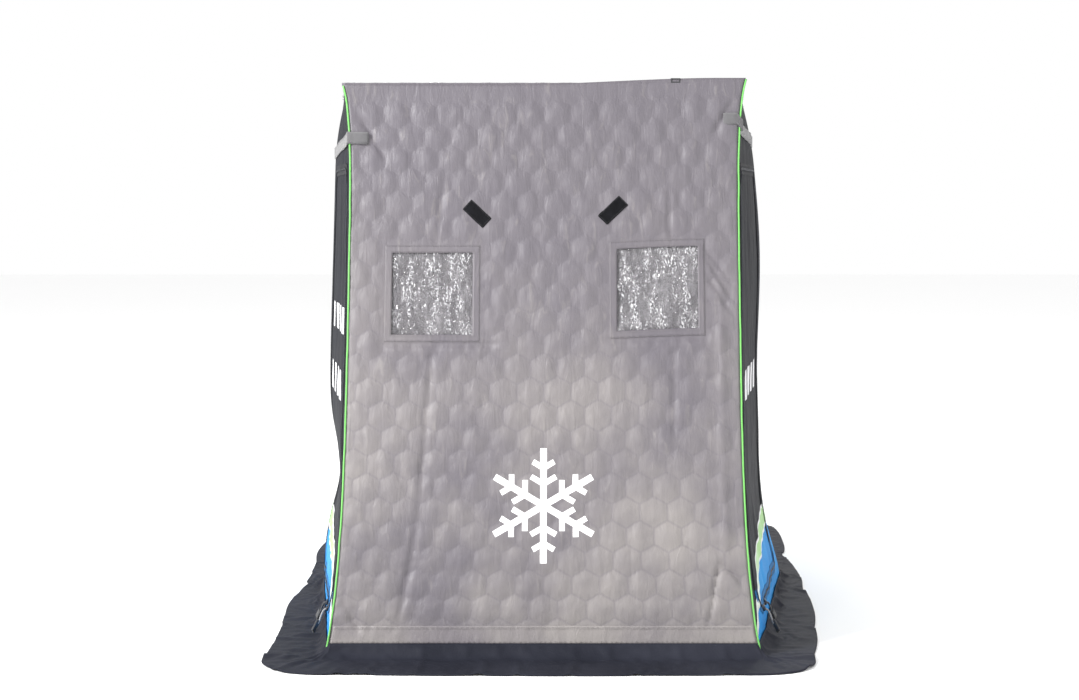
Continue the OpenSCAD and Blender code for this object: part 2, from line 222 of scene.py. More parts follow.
def fabric(name, base, shade, pale, look, seams=False, mark=None):
    f = Finish(name)
    # base is the cloth's lit colour, shade a darker copy of it for painted shade, pale a paler copy for painted
    # highlight
    base, shade, pale = (rgb(*c, share=look.get("share", lightShare)) for c in (base, shade, pale))
    broad = f.speckle(look["patch scale"], 4, 0.6)
    creased = f.speckle(1.0, 5, 0.62, stretch=look["crease stretch"], twist=0.6)
    # painted shade: broad random patches of the shade tone
    color = broad.fade(0.3, 0.72).mix(shade, base)
    # painted shade: the cloth turns to its shade tone towards the top of the hut
    if look.get("painted top shade"):
        color = (f.place.split()[2].fade(0.0, 1.75) * look["painted top shade"]).mix(color, shade)
    # painted highlight: the raised crests of the creases, from the same noise as their bump, turn to the pale tone
    color = (creased.fade(0.55, 0.8) * look["lift"]).mix(color, pale)
    height = creased * look["crease"] + f.weave(look["weave"]) * look["thread"]
    if seams:
        gap = f.start.node("ShaderNodeAttribute", {"attribute_name": "seam"}, out="Fac")
        near = 1.0 - gap.fade(0.0, look["seam width"])
        # painted shade in the valleys along the quilting seams
        color = (near * look["painted seam shade"]).mix(color, shade)
        pulls = f.speckle(1.0, 3, 0.6, stretch=(150, 150, 60))
        height = height + (pulls - 0.62) * near * look["pulls"]
    if mark:
        color = mark(f).mix(color, rgb(248, 247, 248, share=0.85))
    return f.done(color, broad * 0.16 + (look["rough"] - 0.08), height, Sheen_Weight=look["sheen"],
                  Sheen_Roughness=0.45, Specular_IOR_Level=look["shine"])


def snowflake(f):
    # a plain six-armed flake, low on the front panel
    size = {"up": 0.435, "arm": 0.165, "width": 0.019, "barbs": ((0.062, 0.042), (0.108, 0.036)), "barb width": 0.42}
    x, v, _ = f.flat.split()
    y = v - size["up"]
    r = (x * x + y * y) ** 0.5
    sixth = math.pi / 3
    folded = f.start.calc("PINGPONG", f.start.calc("ARCTAN2", x, y) + 2 * math.pi, sixth / 2)
    side, along = r * folded.sin(), r * folded.cos()
    shape = side.less(size["width"] / 2) * along.less(size["arm"])
    for start, length in size["barbs"]:
        ahead = along - start
        off = abs(ahead * math.sin(sixth) - side * math.cos(sixth))
        out = ahead * math.cos(sixth) + side * math.sin(sixth)
        shape = shape.most(off.less(size["width"] * size["barb width"]) * out.less(length) * out.more(0.0))
    return shape


# lift, painted top shade and painted seam shade set how strongly the painted highlight and painted shade show
quiltLook = {"patch scale": 2.2, "crease stretch": (46, 46, 7), "lift": 0.35, "weave": 0.0011, "rough": 0.5,
             "crease": 0.0030, "thread": 0.00006, "seam width": 0.006, "painted seam shade": 0.3, "pulls": 0.0016,
             "painted top shade": 1.0, "sheen": 0.1, "shine": 0.4}
plainLook = dict(quiltLook, **{"crease stretch": (60, 60, 22), "crease": 0.0022})
sideLook = {"patch scale": 2.6, "crease stretch": (10, 12, 4), "lift": 0.3, "weave": 0.0012, "rough": 0.55,
            "crease": 0.010, "thread": 0.00008, "sheen": 0.0, "shine": 0.06}
brightLook = dict(sideLook, share=0.8)
skirtLook = dict(sideLook, **{"crease stretch": (9, 9, 9), "crease": 0.004, "lift": 0.25})
# each cloth: its lit colour, a darker copy for painted shade and a paler copy for painted highlight
quiltMat = fabric("quilted grey fabric", (192, 185, 181), (134, 128, 137), (208, 201, 196), quiltLook,
                  seams=True, mark=snowflake)
plainMat = fabric("plain grey fabric", (202, 195, 190), (152, 145, 151), (216, 210, 205), plainLook)
blackMat = fabric("black side fabric", (47, 49, 58), (36, 38, 46), (64, 66, 77), sideLook)
blueMat = fabric("blue fabric", (66, 160, 228), (40, 130, 205), (120, 190, 240), brightLook)
skirtMat = fabric("skirt fabric", (66, 68, 80), (50, 52, 63), (88, 92, 104), skirtLook)


def stripeFinish():
    # lime with a white edge each side; the piece's U runs along it and its V across it, both 0 to 1
    f = Finish("lime and white print")
    u, v, _ = f.flat.split()
    thin = 1.0 - u.fade(0.02, 0.3)  # its front end is too narrow for lime
    white = abs(v - 0.5).more(0.36).most(thin * 0.9)
    tone = f.speckle(8, 4)
    lime = tone.mix(rgb(150, 226, 100, share=0.55), rgb(180, 245, 140, share=0.6))
    pale = tone.mix(rgb(232, 236, 236, share=0.75), rgb(246, 248, 248, share=0.8))
    creased = f.speckle(1.0, 4, 0.6, stretch=(14, 18, 6))
    return f.done(white.mix(lime, pale), tone * 0.15 + 0.42, creased * 0.005 + f.weave(0.0012, f.place) * 0.00005,
                  Sheen_Weight=0.2)


def pipingFinish():
    f = Finish("lime piping")
    tone = f.speckle(60, 4)
    color = tone.mix(rgb(100, 214, 80, share=0.5), rgb(142, 232, 116, share=0.55))
    return f.done(color, tone * 0.2 + 0.4, f.threads(f.place, 0.0016, 2) * 0.0001 + tone * 0.0004, Sheen_Weight=0.3)


def webbingFinish(name, one, two, pitches=(0.0022, 0.0009)):
    # ribs across the strap's width, threads along it
    f = Finish(name)
    ribs = f.threads(f.flat, pitches[0]) * 0.5 + 0.5
    cross = f.threads(f.flat, pitches[1], 1) * 0.5 + 0.5
    tone = f.speckle(30, 4)
    color = (ribs * 0.45 + tone * 0.4).mix(rgb(*one), rgb(*two))
    return f.done(color, ribs * 0.1 + 0.5, ribs * 0.0004 + cross * 0.00015, Sheen_Weight=0.3)


def patchFinish():
    # looped pile
    f = Finish("hook and loop pile")
    pile = f.start.node("ShaderNodeTexVoronoi", {}, {"Vector": f.place, "Scale": 620.0})
    tone = f.speckle(45, 5)
    color = (tone.fade(0.3, 0.75) * 0.7 + pile * 0.3).mix(rgb(14, 14, 18), rgb(32, 32, 38))
    return f.done(color, tone * 0.1 + 0.78, pile * 0.0008 + tone * 0.0008, Sheen_Weight=0.03,
                  Specular_IOR_Level=0.1)


def metalFinish(name, base, rough, stretch):
    # drawn metal with fine lines and handling marks
    f = Finish(name)
    lines = f.speckle(1.0, 4, 0.6, stretch=stretch)
    marks = f.speckle(14, 5)
    color = marks.fade(0.3, 0.7).mix(rgb(*base, share=0.85), rgb(*base, share=1.0))
    return f.done(color, lines * 0.14 + rough + marks * 0.08, lines * 0.0002, Metallic=1.0)


def vinylFinish():
    # clear sheet, crinkled; white specks and streaks painted into its colour and alpha are painted glints
    f = Finish("clear crinkled vinyl")
    crinkle = f.speckle(1.0, 4, 0.6, stretch=(85, 85, 36), twist=0.8)
    fine = f.speckle(1.0, 3, 0.6, stretch=(260, 260, 150), twist=0.5)
    ridges = 1.0 - abs(crinkle - 0.5) * 2.0
    lines = 1.0 - abs(f.speckle(1.0, 4, 0.65, stretch=(210, 210, 80), twist=1.5) - 0.5) * 2.0
    streaks = f.speckle(1.0, 3, 0.6, stretch=(40, 40, 10)).fade(0.43, 0.60)
    clumps = f.speckle(1.0, 4, 0.7, stretch=(230, 230, 110)).fade(0.50, 0.58)
    # painted highlight: thin crease lines in clumps and streaks, white and opaque
    paintedGlint = lines.fade(0.86, 0.95) * clumps * streaks
    cloud = f.speckle(1.0, 4, stretch=(22, 22, 9))
    grey = cloud.fade(0.35, 0.7).mix(rgb(176, 172, 179, share=0.4), rgb(208, 204, 210, share=0.42))
    return f.done(paintedGlint.mix(grey, (0.95, 0.95, 0.97, 1)), cloud * 0.08 + 0.1, ridges ** 3.0 * 0.007 + fine * 0.0022,
                  Alpha=(cloud * 0.3 + 0.3 + paintedGlint).clamp(), Specular_IOR_Level=1.0, Coat_Weight=1.0,
                  Coat_Roughness=0.09)


def tapeFinish():
    # zip tape: black, and blue where it crosses the lower panel
    f = Finish("zip tape")
    ribs = f.threads(f.flat, 0.0016) * 0.5 + 0.5
    tone = f.speckle(30, 4)
    dark = tone.mix(rgb(24, 25, 30), rgb(50, 52, 60))
    blue = tone.mix(rgb(40, 120, 190, share=0.5), rgb(60, 150, 215, share=0.5))
    low = 1.0 - f.place.split()[2].fade(0.16, 0.17)
    return f.done(low.mix(dark, blue), ribs * 0.1 + 0.6, ribs * 0.0003, Specular_IOR_Level=0.2)


stripeMat = stripeFinish()
pipingMat = pipingFinish()
strapMat = webbingFinish("grey webbing", (112, 110, 114), (136, 134, 137))
clipMat = webbingFinish("black webbing", (30, 31, 36), (56, 57, 64))
threadMat = webbingFinish("sewing thread", (150, 146, 148), (178, 174, 174), (0.0009, 0.0009))
darkThreadMat = webbingFinish("dark sewing thread", (30, 31, 36), (60, 61, 68), (0.0009, 0.0009))
cordMat = webbingFinish("white cord", (214, 214, 216), (240, 240, 242), (0.001, 0.001))
zipTapeMat = tapeFinish()
patchMat = patchFinish()
tubeMat = metalFinish("aluminium tube", (196, 198, 202), 0.28, (40, 40, 900))
zipMat = metalFinish("zip metal", (70, 72, 78), 0.3, (300, 300, 300))
vinylMat = vinylFinish()
# its second and third colours are painted shade and painted highlight, as for the other cloths
printMat = fabric("white print", (236, 236, 238), (222, 223, 227), (246, 246, 248), brightLook)

hexWide = 0.080  # across the flats of a quilted cell
hexSide = hexWide / math.sqrt(3)
seamFar = 0.03  # how far from a seam the finish still reads it


def seamGap(u, v):
    # distance from the nearest seam of a honeycomb with upright sides
    best = None
    for shift in (0.0, 0.5):
        row = np.round(v / (3 * hexSide) - shift) + shift
        col = np.round(u / hexWide - shift) + shift
        dx, dy = u - col * hexWide, v - row * 3 * hexSide
        far = np.maximum(np.abs(dx), np.abs(dx) / 2 + np.abs(dy) * math.sqrt(3) / 2)
        best = far if best is None else np.minimum(best, far)
    return hexWide / 2 - best


def ripple(pts, wide, high, seed):
    # smooth unevenness over flat places
    return np.array([noise.noise((p[0] * wide, p[1] * high, seed)) for p in pts])


def within(loop, pts):
    x, y = pts[:, 0], pts[:, 1]
    found = np.zeros(len(pts), bool)
    for (x0, y0), (x1, y1) in zip(loop, np.roll(loop, -1, axis=0)):
        if y0 != y1:
            found ^= ((y0 > y) != (y1 > y)) & (x < (x1 - x0) * (y - y0) / (y1 - y0) + x0)
    return found


def alongLoop(loop, step):
    pts = []
    for a, b in zip(loop, np.roll(loop, -1, axis=0)):
        count = max(1, int(round(math.dist(a, b) / step)))
        pts += [a + (b - a) * i / count for i in range(count)]
    return np.array(pts)


def nearest(loop, pts):
    # distance of each point from a closed loop
    best = np.full(len(pts), 9.0)
    for a, b in zip(loop, np.roll(loop, -1, axis=0)):
        d = b - a
        size = float(d @ d)
        if size > 1e-14:
            t = np.clip(((pts - a) @ d) / size, 0, 1)
            best = np.minimum(best, np.linalg.norm(pts - a - t[:, None] * d, axis=1))
    return best


def turns(pts, tris):
    # twice each triangle's area, below 0 where it runs clockwise
    a, b, c = (pts[tris[:, k]] for k in range(3))
    return (b[:, 0] - a[:, 0]) * (c[:, 1] - a[:, 1]) - (b[:, 1] - a[:, 1]) * (c[:, 0] - a[:, 0])


def only(pts, tris):
    # which points these triangles use, and the triangles renumbered to them
    used = np.unique(tris)
    renumber = np.full(len(pts), -1)
    renumber[used] = np.arange(len(used))
    return used, renumber[tris]


def span(pts):
    return tuple(float(x) for x in np.ptp(pts, axis=0))


def cutCloth(outline, holes=(), step=0.012):
    # triangles over a flat outline, on a lattice with upright rows so that honeycomb seams lie on its edges
    loops = [alongLoop(np.array(loop, float), step) for loop in (outline, *holes)]
    low, high = loops[0].min(0), loops[0].max(0)
    wide = step * math.sqrt(3) / 2
    cols = np.arange(math.floor(low[0] / wide), math.ceil(high[0] / wide) + 1)
    rows = np.arange(math.floor(low[1] / step) - 1, math.ceil(high[1] / step) + 1)
    grid = np.array([(c * wide, (r + (c % 2) / 2) * step) for c in cols for r in rows])
    keep = within(loops[0], grid)
    for loop in loops[1:]:
        keep &= ~within(loop, grid)
    for loop in loops:
        keep &= nearest(loop, grid) > step * 0.4
    verts, edges = list(map(Vector, np.vstack(loops + [grid[keep]]).tolist())), []
    start = 0
    for loop in loops:
        edges += [(start + i, start + (i + 1) % len(loop)) for i in range(len(loop))]
        start += len(loop)
    made = delaunay_2d_cdt(verts, edges, [], 0, 1e-7)
    pts, tris = np.array([tuple(p) for p in made[0]]), np.array(made[2])
    mid = pts[tris].mean(1)
    good = within(loops[0], mid)
    for loop in loops[1:]:
        good &= ~within(loop, mid)
    used, tris = only(pts, tris[good])
    pts = pts[used]
    turn = turns(pts, tris)
    tris[turn < 0] = tris[turn < 0][:, ::-1]
    edgeGap = np.min([nearest(loop, pts) for loop in loops], axis=0)
    return pts, tris, edgeGap, float(np.abs(turn).sum() / 2)


def roundShade(mesh):
    mesh.polygons.foreach_set("use_smooth", np.ones(len(mesh.polygons), bool))


def meshPiece(name, spots, faces, material, uv=None):
    mesh = bpy.data.meshes.new(name)
    mesh.from_pydata([tuple(p) for p in spots], [], [tuple(int(i) for i in f) for f in faces])
    mesh.validate()
    mesh.materials.append(material)
    if uv is not None:
        layer = mesh.uv_layers.new(name="flat")
        corner = np.zeros(len(mesh.loops), int)
        mesh.loops.foreach_get("vertex_index", corner)
        layer.data.foreach_set("uv", np.asarray(uv, np.float32)[corner].ravel())
    roundShade(mesh)
    return addObject(name, mesh)


def tellSeam(piece, values):
    # the seam's distance goes with the mesh, for the finish to read
    held = piece.data.attributes.new("seam", "FLOAT", "POINT")
    held.data.foreach_set("value", np.asarray(values, np.float32))


def settle(piece):
    # modifiers become the mesh
    bpy.context.view_layer.update()
    graph = bpy.context.evaluated_depsgraph_get()
    mesh = bpy.data.meshes.new_from_object(piece.evaluated_get(graph), preserve_all_data_layers=True, depsgraph=graph)
    old = piece.data
    piece.modifiers.clear()
    piece.data = mesh
    bpy.data.meshes.remove(old)
    mesh.name = piece.name
    return piece


def thicken(piece, thick, offset=-1.0):
    made = piece.modifiers.new("thickness", "SOLIDIFY")
    made.thickness = thick
    made.offset = offset
    made.use_even_offset = False
    return settle(piece)


def places(mesh):
    co = np.zeros(len(mesh.vertices) * 3, np.float32)
    mesh.vertices.foreach_get("co", co)
    return co.reshape(-1, 3).astype(float)


def fixed(piece, slotName, *nodes):
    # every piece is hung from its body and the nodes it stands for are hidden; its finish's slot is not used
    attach(piece, "root")
    if nodes:
        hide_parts(*nodes)
    return piece


def sewn(piece, nodes, slotName, flat, area):
    # a sheet of cloth, cut flat wide and long; it is fixed like any piece, and its flat size is worked out but not
    # kept
    fixed(piece, slotName, *nodes)
    wide, long = flat
    if area < 0.31 * wide * long:  # mostly opening: worked out as the strip that it is sewn from
        wide = area / long
    min(area, wide * long)
    return piece


def runCloth(piece, values, pinned):
    # a cloth simulation from the first frame to the last, held at the pinned points
    held = piece.vertex_groups.new(name="held")
    held.add([int(i) for i in pinned], 1.0, "REPLACE")
    cloth = piece.modifiers.new("cloth", "CLOTH")
    data = cloth.settings
    data.vertex_group_mass = "held"
    data.shrink_min = data.shrink_max = -values["slack"]
    data.tension_stiffness = data.compression_stiffness = values["tension"]
    for key, value in values["cloth"].items():
        setattr(data, key, value)
    cloth.point_cache.frame_start = 1
    cloth.point_cache.frame_end = values["frames"]
    return cloth


def playCloth(values):
    for step in range(1, values["frames"] + 1):
        scene.frame_set(step)


def softened(height, tris, share=0.45):
    # each point is drawn towards its neighbours' mean height
    total, count = np.zeros(len(height)), np.zeros(len(height))
    for a, b in ((0, 1), (1, 2), (2, 0), (1, 0), (2, 1), (0, 2)):
        np.add.at(total, tris[:, a], height[tris[:, b]])
        np.add.at(count, tris[:, a], 1)
    return height * (1 - share) + share * total / np.maximum(count, 1)


quilting = {"puff": 0.004, "slack": 0.012, "cap": 0.009, "tension": 12, "spring back": 0.002,
            "cloth": {"quality": 4, "mass": 0.2, "shear_stiffness": 6, "bending_stiffness": 0.05, "pin_stiffness": 1,
                      "use_pressure": True, "uniform_pressure_force": 4.0}}


def puffed(pts, tris, gap, plain, values):
    # the cloth lies flat, is a little too large for its seams, and is blown outwards; returns how it ends
    pinned = (gap < 1e-4) | plain
    gap = np.where(plain, 0, gap)
    start = np.zeros((len(pts), 3))
    start[:, :2] = pts
    swell = 1 - np.exp(-np.maximum(gap, 0) / 0.012)
    uneven = 0.55 + 0.5 * ripple(pts, 34, 9, values["seed"]) + 0.2 * ripple(pts, 80, 30, values["seed"] + 5)
    start[:, 2] = np.where(pinned, 0, values["puff"] * swell * uneven)
    piece = meshPiece("sim", start, tris, quiltMat)
    cloth = runCloth(piece, values, np.nonzero(pinned)[0])
    cloth.settings.effector_weights.gravity = 0
    cloth.collision_settings.use_collision = False
    cloth.collision_settings.use_self_collision = False
    playCloth(values)
    end = places(piece.evaluated_get(bpy.context.evaluated_depsgraph_get()).to_mesh())
    end[:, 2] = softened(np.clip(end[:, 2], -values["spring back"], values["cap"]), tris)
    bpy.data.objects.remove(piece)
    scene.frame_set(1)
    print("  blown out by", [round(float(x) * 1000, 1) for x in (end[:, 2].mean(), end[:, 2].max())], "mm")
    return end


walls = {"front half": 0.568, "foot flare": 0.052, "top flare": 0.029, "middle half": 0.742, "narrower up": 0.035,
         "shoulder": 0.032, "left pull": 0.044, "right bulge": 0.027, "flat half": 0.585}


def hump(x, middle, wide):
    return np.exp(-((x - middle) / wide) ** 2)


def eased(t):
    t = np.clip(t, 0, 1)
    return t * t * (3 - 2 * t)


def frontHalf(z):
    return (walls["front half"] + walls["foot flare"] * np.exp(-z / 0.25)
            + walls["top flare"] * np.exp((z - hutHeight) / 0.1))


def sideX(y, z, side):
    # how far out a side's face is; the left is pulled in low down, the right bulges and flares at its foot
    y, z = np.asarray(y, float), np.asarray(z, float)
    shoulder = walls["shoulder"] * np.clip((z - 1.42) / 0.24, 0, 1) ** 2
    middle = walls["middle half"] - walls["narrower up"] * z - shoulder
    t = (y - leanK * z) / (middleY - leanK * z)
    x = np.where(y < middleY, frontHalf(z) + (middle - frontHalf(z)) * t, middle - 0.04 * (y - middleY))
    depth = np.clip(t, 0, 1)
    if side < 0:
        return x - walls["left pull"] * hump(z, 0.41, 0.16) * depth
    x = x + walls["right bulge"] * hump(z, 1.15, 0.35) * depth
    return x + (0.015 + 0.07 * np.clip(y / 1.2, 0, 1) ** 1.5) * hump(z, 0, 0.22) * np.clip(y / 0.2, 0, 1)


def onFront(u, v, n):
    # across, up the slope and out of the front panel; its upper right is pulled up
    z = v * math.cos(leanAngle)
    upper = eased((z - 0.55) / 0.4)
    x = u * frontHalf(z) / walls["flat half"] + 0.003 * z + 0.010 * upper * hump(u, 0.34, 0.16)
    y = v * math.sin(leanAngle) - n * math.cos(leanAngle)
    lift = 0.020 * eased((u + 0.1) / 0.6) * upper - 0.005 * np.clip((z - 1.35) / 0.3, 0, 1)
    return np.stack([x, yBase + y + lift * leanK, z + n * math.sin(leanAngle) + lift], -1)


def boxLoop(w, h, x=0.0, y=0.0):
    return [(x - w, y - h), (x + w, y - h), (x + w, y + h), (x - w, y + h)]


windowBox = {"out": 0.336, "up": 1.053, "half": 0.125}


def windowLoop(side, grow=0.0):
    half = windowBox["half"] + grow
    return boxLoop(half, half, side * windowBox["out"], windowBox["up"])


def crease(u, v, start, end, wide, high):
    # one soft crease along a line
    (u0, v0), (du, dv) = start, np.subtract(end, start)
    size = math.hypot(du, dv)
    t = ((u - u0) * du + (v - v0) * dv) / size ** 2
    off = ((u - u0) * dv - (v - v0) * du) / size
    return 1.5 * high * hump(off, 0, wide) * np.clip(np.minimum(t, 1 - t) * 5 + 0.1, 0, 1)


print("front panel")
frontLong = hutHeight / math.cos(leanAngle)
front = dict(quilting, step=hexSide / 5, frames=16, seed=3.0, band=0.055, hem=0.09)
creases = [  # start, end, width, height
    ((-0.300, 1.42), (-0.325, 1.19), 0.008, -0.004),
    ((-0.335, 0.90), (-0.365, 0.40), 0.009, -0.005),
    ((-0.365, 0.40), (-0.405, 0.08), 0.010, -0.005),
    ((0.365, 1.36), (0.372, 1.19), 0.007, -0.004),
    ((0.380, 0.90), (0.385, 0.60), 0.008, -0.004),
    ((0.530, 1.10), (0.525, 0.20), 0.014, 0.004),
    ((0.455, 1.20), (0.575, 1.05), 0.006, -0.004),
    ((0.470, 1.16), (0.575, 1.00), 0.006, -0.004),
    ((0.480, 1.10), (0.572, 0.96), 0.006, -0.004),
    ((-0.555, 1.60), (-0.480, 1.45), 0.008, -0.004),
    ((0.560, 1.62), (0.500, 1.50), 0.008, -0.004),
    ((-0.575, 0.18), (-0.500, 0.07), 0.007, -0.006),
    ((0.505, 0.275), (0.455, 0.085), 0.005, -0.007),
    ((0.505, 0.275), (0.580, 0.20), 0.005, -0.006),
    ((-0.50, 0.903), (-0.10, 0.903), 0.007, -0.004),
    ((0.16, 0.905), (0.50, 0.905), 0.007, -0.004),
]


def frontRelief(pts):
    extra = sum(crease(pts[:, 0], pts[:, 1], *line) for line in creases)
    for side in (-1, 1):  # a shallow groove round each window
        extra = extra - 0.0007 * hump(nearest(np.array(windowLoop(side, 0.03)), pts), 0, 0.01)
    return extra


half = walls["flat half"]
pts, tris, edgeGap, flatArea = cutCloth([(-half, footZ), (half, footZ), (half, frontLong), (-half, frontLong)],
                                        [windowLoop(-1), windowLoop(1)], front["step"])
gap = seamGap(pts[:, 0], pts[:, 1])
plain = (edgeGap < 0.004) | (pts[:, 1] > frontLong - front["band"]) | (pts[:, 1] < front["hem"])
for side in (-1, 1):
    plain |= within(np.array(windowLoop(side, 0.022)), pts)
end = puffed(pts, tris, gap, plain, front)
edgeFade = np.clip(edgeGap / 0.03, 0, 1)
wave = ripple(pts, 26, 4.5, 7.1) + 0.5 * ripple(pts, 60, 11, 2.4)
out = end[:, 2] + (0.0021 * wave + 0.005 * ripple(pts, 3.1, 2.3, 1.7)) * edgeFade + frontRelief(pts) * edgeFade
frontPiece = meshPiece("front_quilt", onFront(end[:, 0], end[:, 1], out), tris, quiltMat, uv=pts)
tellSeam(frontPiece, np.where(plain, seamFar, np.minimum(gap, seamFar)))
frontTree = BVHTree.FromPolygons([tuple(p) for p in np.column_stack([pts, out])],
                                 [tuple(int(i) for i in t) for t in tris])
thicken(frontPiece, wallThick)
sewn(frontPiece, ["front_panel"], "quilted_fabric", (2 * half, frontLong), flatArea)


def reliefAt(u, v):
    # how far out the front panel's cloth stands there
    hit = frontTree.ray_cast(Vector((u, v, 1)), Vector((0, 0, -1)), 2.0)
    return hit[0].z if hit[0] else 0.0


print("roof and back")
topQuilt = dict(quilting, step=hexSide / 4, frames=12)
topHalf, middleHalf, rearHalf, footHalf = (float(sideX(y, z, -1)) for y, z in (
    (topSetBack, hutHeight), (middleY, middleZ), (rearY, rearZ), (backY, 0.0)))


def quiltedPanel(name, node, a, b, h0, h1, seed):
    # a sloping panel between two places seen from the side, as (y, z), h0 and h1 half wide at its ends
    way = np.array(b) - np.array(a)
    size = float(np.linalg.norm(way))
    way = way / size
    pts, tris, edgeGap, area = cutCloth([(-h0, 0), (h0, 0), (h1, size), (-h1, size)], (), topQuilt["step"])
    gap = seamGap(pts[:, 0], pts[:, 1])
    plain = edgeGap < 0.006
    end = puffed(pts, tris, gap, plain, dict(topQuilt, seed=seed))
    out = 0.0016 * ripple(pts, 18, 7, seed) + 0.006 * ripple(pts, 2.4, 2.6, seed + 3)
    n = end[:, 2] + out * np.clip(edgeGap / 0.05, 0, 1)
    u, v = end[:, 0], end[:, 1]
    y = a[0] + way[0] * v - way[1] * n
    z = a[1] + way[1] * v + way[0] * n
    clipped = np.clip(z, 0, hutHeight)
    x = np.where(u > 0, sideX(y, clipped, 1), sideX(y, clipped, -1))
    spots = np.stack([u * x / (h0 + (h1 - h0) * v / size), yBase + y, z], -1)
    piece = meshPiece(name, spots, tris, quiltMat, uv=pts + np.array([0, 5.0]))  # clear of the snowflake's place
    tellSeam(piece, np.where(plain, seamFar, np.minimum(gap, seamFar)))
    thicken(piece, wallThick)
    sewn(piece, [node], "quilted_fabric", (2 * max(h0, h1), size), area)


quiltedPanel("roof_quilt", "roof_panel", (topSetBack, hutHeight), (middleY, middleZ), topHalf, middleHalf,
             11.0)
quiltedPanel("rear_roof_quilt", "rear_roof_panel", (middleY, middleZ), (rearY, rearZ), middleHalf, rearHalf,
             17.0)
quiltedPanel("back_quilt", "back_panel", (rearY, rearZ), (backY - 0.004, footZ), rearHalf, footHalf,
             23.0)

print("sides")
sideCut = {"step": 0.014, "tuck": 0.009}  # the sides end just inside the front, roof and back
tuck = sideCut["tuck"]
stripe = {"rise": 0.26, "over": 0.35, "thin": 0.012, "wide": 0.063, "step": 0.012, "end": 0.014}
doorSize = {"sill": 0.095, "top": 1.40, "front": 0.120, "back": 0.07, "round": 0.09}
frontOutline = [(leanK * footZ + tuck, footZ), (middleY, footZ), (middleY, middleZ - tuck),
                (topSetBack + tuck, hutHeight - tuck)]
rearOutline = [(middleY, footZ), (backY - tuck, footZ), (rearY - tuck * 0.8, rearZ - tuck), (middleY, middleZ - tuck)]


def onSide(side, y, z, n):
    return np.stack([side * (sideX(y, z, side) + n), yBase + np.asarray(y, float), np.asarray(z, float)], -1)


def risen(y):
    return 1 - np.exp(-np.asarray(y, float) / stripe["over"])


def limeTop(y):
    return seamZ + stripe["thin"] + stripe["rise"] * risen(y)


def limeFoot(y):
    return limeTop(y) - stripe["thin"] - stripe["wide"] * risen(y)


def rounded(corners, radius, count=6):
    pts = []
    for i, p in enumerate(map(np.array, corners)):
        a, b = np.array(corners[i - 1]), np.array(corners[(i + 1) % len(corners)])
        u, v = (a - p) / np.linalg.norm(a - p), (b - p) / np.linalg.norm(b - p)
        back = radius / math.tan(math.acos(float(u @ v)) / 2)
        for t in np.linspace(0, 1, count):
            pts.append((p + u * back) * (1 - t) ** 2 + p * 2 * t * (1 - t) + (p + v * back) * t ** 2)
    return np.array(pts)


def doorLoop(grow=0.0):
    low, high = doorSize["sill"] - grow, doorSize["top"] + grow
    edge, rear = doorSize["front"], middleY - doorSize["back"] + grow
    return rounded([(leanK * low + edge - grow, low), (leanK * high + edge - grow, high), (rear, high), (rear, low)],
                   doorSize["round"] + grow)


def sideRelief(y, z, side):
    # how the side cloth stands in and out: long slack folds, finer ones near the ground
    pts = np.column_stack([np.ravel(y), np.ravel(z)])
    folds = ripple(pts, 11, 2.6, 9.0 + side)
    fine = ripple(pts, 26, 9, 2.0 + side)
    low = np.exp(-np.ravel(z) / 0.35)
    out = 0.006 * ripple(pts, 3.2, 1.3, 4.0 + side) + 0.004 * folds + 0.0015 * fine
    return (out + low * (0.002 * folds + 0.001 * fine)).reshape(np.shape(y))


def sewnRelief(pts, side, outline=frontOutline):
    # the same, dying out where the cloth is sewn on
    outer = nearest(alongLoop(np.array(outline, float), 0.1), pts)
    return sideRelief(pts[:, 0], pts[:, 1], side) * np.clip(outer / edgeSlack, 0, 1)


def isLow(pts, tris):
    # the triangles below the stripe's middle are blue
    y, z = pts[tris].mean(1).T
    return z < (limeTop(y) + limeFoot(y)) / 2


for side, word in bothSides:
    turned = 1 if side > 0 else -1
    for part, outline, holes in (("front", frontOutline, [doorLoop(0.0005)]), ("rear", rearOutline, [])):
        pts, tris, edgeGap, area = cutCloth(outline, holes, sideCut["step"])
        spots = onSide(side, pts[:, 0], pts[:, 1], sewnRelief(pts, side, outline))
        low = isLow(pts, tris)
        for some, stem, node, slotName, mat in ((tris[~low], "side_cloth", "side", "black_side_fabric", blackMat),
                                                (tris[low], "lower_cloth", "lower", "blue_fabric", blueMat)):
            used, faces = only(pts, some)
            piece = meshPiece(f"{word}_{part}_{stem}", spots[used], faces[:, ::turned], mat, uv=pts[used])
            thicken(piece, wallThick)
            sewn(piece, [f"{word}_{part}_{node}"], slotName, span(pts[used]),
                 float(np.abs(turns(pts, some)).sum() / 2))

    # the door lies flush in the side, black above the stripe and blue below
    pts, tris, edgeGap, area = cutCloth(doorLoop(), (), sideCut["step"])
    spots = onSide(side, pts[:, 0], pts[:, 1], sewnRelief(pts, side))
    door = meshPiece(f"{word}_door_cloth", spots, tris[:, ::turned], blackMat, uv=pts)
    door.data.materials.append(blueMat)
    door.data.polygons.foreach_set("material_index", isLow(pts, tris).astype(np.int32))
    thicken(door, wallThick)
    sewn(door, [f"{word}_door"], "black_side_fabric", span(pts), area)


